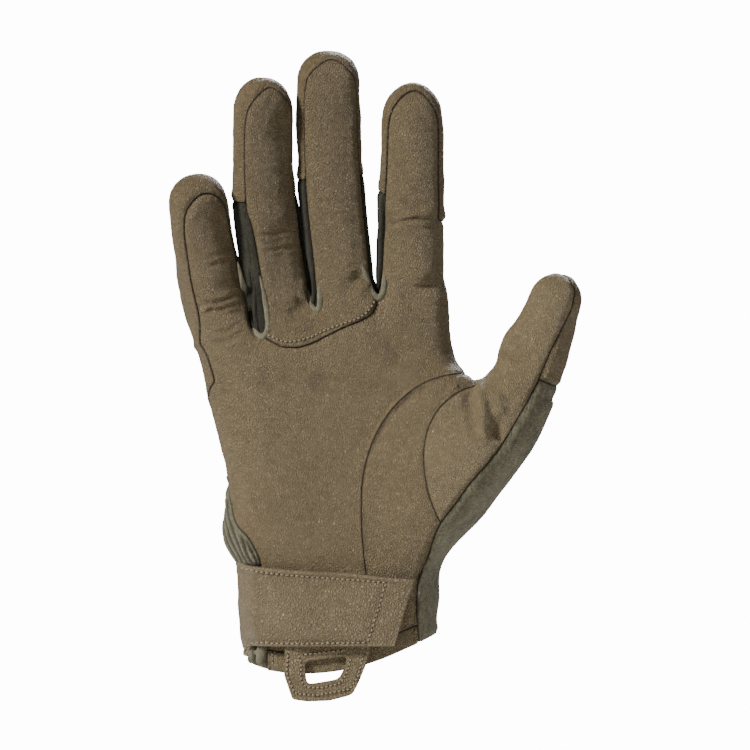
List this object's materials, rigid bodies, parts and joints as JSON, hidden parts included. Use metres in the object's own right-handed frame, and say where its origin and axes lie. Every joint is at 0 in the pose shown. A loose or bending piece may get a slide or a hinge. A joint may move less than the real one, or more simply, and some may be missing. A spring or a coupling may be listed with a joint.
{
  "type": "flame-resistant tactical glove",
  "caption": "Right-hand work glove in its worn, open shape: leather palm and fingertip caps, knitted back and fourchettes, a wrist strap with a stitched tab and a pull loop.",
  "frame": {"origin": "middle of the wrist opening, where the hand goes in", "axes": "+X towards the thumb, -Y out of the palm, +Z from the wrist to the fingertips"},
  "size_m": [0.1608, 0.0521, 0.2534],
  "materials": {
    "leather": "fine-grained goatskin, coyote tan, satin",
    "knit": "matte sage-green knit",
    "hook_tape": "matte hook tape"
  },
  "bodies": {
    "root": {"palm_panel": "leather", "finger_panel": "leather", "thumb_crescent": "leather", "thumb_panel": "leather", "hem_band": "leather", "cap_little": "leather", "cap_ring": "leather", "cap_middle": "leather", "cap_index": "leather", "cap_thumb": "leather", "wrist_strap": "leather", "pull_loop": "leather", "back_panel": "knit", "thumb_knit": "knit", "fourchette_little_ring": "knit", "fourchette_ring_middle": "knit", "fourchette_middle_index": "knit", "wrist_gusset": "knit", "closure_patch": "hook_tape"}
  },
  "joints": []
}
